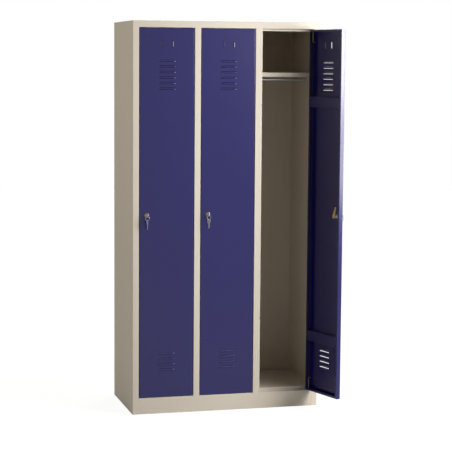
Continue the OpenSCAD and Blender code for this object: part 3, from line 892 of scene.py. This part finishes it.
# Three panels in a bank at the front right, one at the front left, and one each for the left
# side, the back and the top
PANELS = (
    SoftPanel("key_right", Vector((1.880, -1.493, 1.45)), (0.7, 1.3), 31.0),
    SoftPanel("key_middle", Vector((1.709, -1.700, 1.8)), (0.7, 0.9), 33.0),
    SoftPanel("key_left", Vector((1.424, -1.957, 1.95)), (0.8, 0.8), 32.0),
    SoftPanel("side_fill", Vector((-2.6, 0.5, 2.0)), (1.6, 1.6), 13.5, (1.0, 0.93, 0.78)),
    SoftPanel("front_fill", Vector((-2.075, -1.21, 2.0)), (0.8, 0.9), 7.5, (1.0, 0.96, 0.88)),
    SoftPanel("back_fill", Vector((1.6, 2.9, 1.9)), (1.6, 1.6), 90.0),
    SoftPanel("top_fill", Vector((0.2, 0.6, 3.7)), (1.6, 1.2), 20.0),
)


@dataclass
class Studio:
    """Floor, soft lights, white surroundings and camera."""

    camera_place: Vector = Vector((-1.8084, -6.9604, 1.6072))
    camera_yaw: float = -0.2614         # radians, as are the next two
    camera_pitch: float = -0.1061
    camera_roll: float = 0.0073
    lens: float = 121.04        # millimetres
    sensor: float = 36.0        # its width in millimetres
    sight: float = 100.0        # distance up to which the camera sees
    ambient: float = 0.037      # strength of the surroundings where they light things
    ambient_tint: Colour = (1.0, 0.955, 0.90)
    floor_reach: float = 12.0   # from its middle to each edge
    floor_colour: Colour = (0.6, 0.59, 0.57)
    glow: float = 1.14          # of the floor where it is seen, so that shadows on it stay pale
    shadow_near: float = 1.0    # distance from the cabinet up to which shadows show most
    shadow_far: float = 2.6     # distance from which they show least
    glow_near: float = 0.82     # share of the glow at the near distance
    glow_far: float = 0.9       # share of the glow at the far distance

    def build(self) -> None:
        """Builds the whole studio."""
        self.surroundings()
        self.floor()
        for panel in PANELS:
            panel.build()
        self.camera()

    def surroundings(self) -> None:
        """White where it is seen or reflected, and a weaker warm light on what it lights."""
        world = bpy.data.worlds.new("surroundings")
        world.use_nodes = True
        bpy.context.scene.world = world
        graph = Graph(world.node_tree)
        seen = self.seen_or_reflected(graph)
        lit = graph.node("ShaderNodeBackground", {},
                         {"Color": self.ambient_tint, "Strength": self.ambient})
        white = graph.node("ShaderNodeBackground", {},
                           {"Color": (1.0, 1.0, 1.0), "Strength": 1.0})
        graph.node("ShaderNodeOutputWorld", {}, {"Surface": graph.mixed(seen, lit, white)})

    @staticmethod
    def seen_or_reflected(graph: Graph) -> Signal:
        """Tells rays that the eye or a reflection sees from rays that light things.

        Args:
            graph: The graph that asks.

        Returns:
            1 for what is seen or reflected, and 0 for light.
        """
        camera = graph.node("ShaderNodeLightPath", output="Is Camera Ray")
        glossy = graph.node("ShaderNodeLightPath", output="Is Glossy Ray")
        through = graph.node("ShaderNodeLightPath", output="Is Transmission Ray")
        total = camera + glossy + through
        return graph.node("ShaderNodeClamp", {}, {"Value": total})

    def floor(self) -> None:
        """A pale floor that keeps a faint shadow."""
        mesh = bpy.data.meshes.new("studio_floor")
        sheet = bmesh.new()
        bmesh.ops.create_grid(sheet, x_segments=1, y_segments=1, size=self.floor_reach)
        sheet.to_mesh(mesh)
        sheet.free()
        floor = bpy.data.objects.new("studio_floor", mesh)
        bpy.context.scene.collection.objects.link(floor)
        material, graph = new_material("pale_floor")
        paper = graph.node("ShaderNodeBsdfDiffuse", {}, {"Color": self.floor_colour})
        glow = graph.node("ShaderNodeEmission", {},
                          {"Color": (1.0, 1.0, 1.0), "Strength": self.glow})
        away = graph.node("ShaderNodeVectorMath", {"operation": "LENGTH"},
                          {0: graph.object_place()}, output="Value")
        white = graph.node("ShaderNodeMapRange", {},
                           {"Value": away, "From Min": self.shadow_near,
                            "From Max": self.shadow_far, "To Min": self.glow_near,
                            "To Max": self.glow_far})
        share = self.seen_or_reflected(graph) * white
        graph.node("ShaderNodeOutputMaterial", {}, {"Surface": graph.mixed(share, paper, glow)})
        mesh.materials.append(material)

    def camera(self) -> None:
        """Adds the camera."""
        data = bpy.data.cameras.new("camera")
        data.lens = self.lens
        data.sensor_width = self.sensor
        data.clip_end = self.sight
        camera = bpy.data.objects.new("camera", data)
        turn = (Matrix.Rotation(self.camera_yaw, 4, "Z")
                @ Matrix.Rotation(math.pi / 2 + self.camera_pitch, 4, "X")
                @ Matrix.Rotation(self.camera_roll, 4, "Z"))
        camera.matrix_world = Matrix.Translation(self.camera_place) @ turn
        bpy.context.scene.collection.objects.link(camera)
        bpy.context.scene.camera = camera
        bpy.context.scene.view_settings.view_transform = "Standard"


def main() -> None:
    """Builds the scene."""
    logging.basicConfig(level=logging.INFO, format="%(name)s: %(message)s")
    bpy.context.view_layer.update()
    finishes = Finishes()
    finishes.dress_nodes(frame["record"], frame["nodes"])
    for number, spare_yaw in zip(BAYS, SPARE_YAWS):
        LockSet(number, spare_yaw).build(finishes)
        SpotWelds(number).build(finishes)
    SocketRivets().build(finishes)
    Studio().build()


if __name__ == "__main__":
    main()
